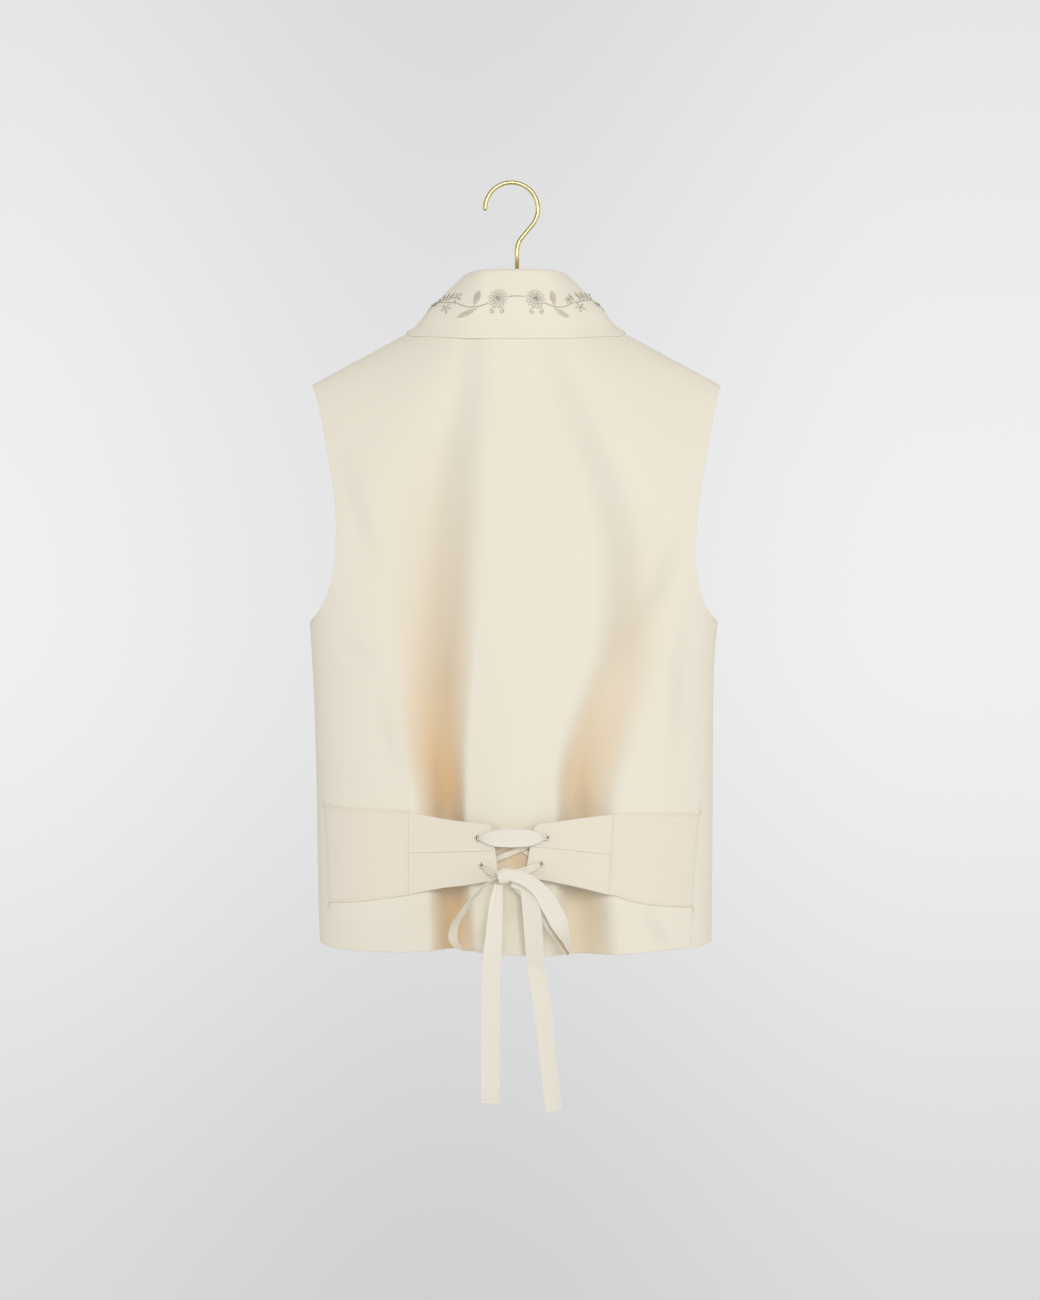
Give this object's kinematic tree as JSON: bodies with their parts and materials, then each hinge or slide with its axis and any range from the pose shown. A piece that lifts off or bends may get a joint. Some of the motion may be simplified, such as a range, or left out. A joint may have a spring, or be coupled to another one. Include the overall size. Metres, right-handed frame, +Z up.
{
  "type": "embroidered waistcoat on hanger",
  "caption": "Sleeveless ivory waistcoat with a turned-down collar and a half belt laced at the back with a ribbon bow, hanging on a wire-hook hanger.",
  "frame": {"origin": "on the inner face of the hook, where a rail carries it, in the garment's centre plane", "axes": "+Z up along the hang, +X towards the wearer's right, +Y the way the fronts face; the back faces -Y"},
  "size_m": [0.4109, 0.1681, 0.9163],
  "materials": {
    "cloth": "matt ivory wool",
    "collar_cloth": "matt ivory wool with silver-grey embroidery",
    "belt_cloth": "matt ivory wool",
    "eyelet_metal": "pale plated metal",
    "ribbon": "soft satin ribbon",
    "button_cover": "matt covered button",
    "hanger_brass": "polished"
  },
  "bodies": {
    "root": {"back_panel": "cloth", "front_left": "cloth", "front_right": "cloth", "collar": "collar_cloth", "belt_patch_left": "belt_cloth", "belt_patch_right": "belt_cloth", "belt_tab_left_upper": "belt_cloth", "belt_tab_left_lower": "belt_cloth", "belt_tab_right_upper": "belt_cloth", "belt_tab_right_lower": "belt_cloth", "eyelet_left_upper": "eyelet_metal", "eyelet_left_lower": "eyelet_metal", "eyelet_right_upper": "eyelet_metal", "eyelet_right_lower": "eyelet_metal", "ribbon_top_bar": "ribbon", "ribbon_cross_back": "ribbon", "ribbon_cross_front": "ribbon", "ribbon_lower_left": "ribbon", "ribbon_lower_right": "ribbon", "bow_knot": "ribbon", "bow_loop_left": "ribbon", "bow_loop_right": "ribbon", "bow_tail_left": "ribbon", "bow_tail_right": "ribbon", "button_1": "button_cover", "button_2": "button_cover", "button_3": "button_cover", "button_4": "button_cover", "hanger_hook": "hanger_brass", "hanger_ferrule": "hanger_brass", "hanger_arms": "hanger_brass"}
  },
  "joints": []
}
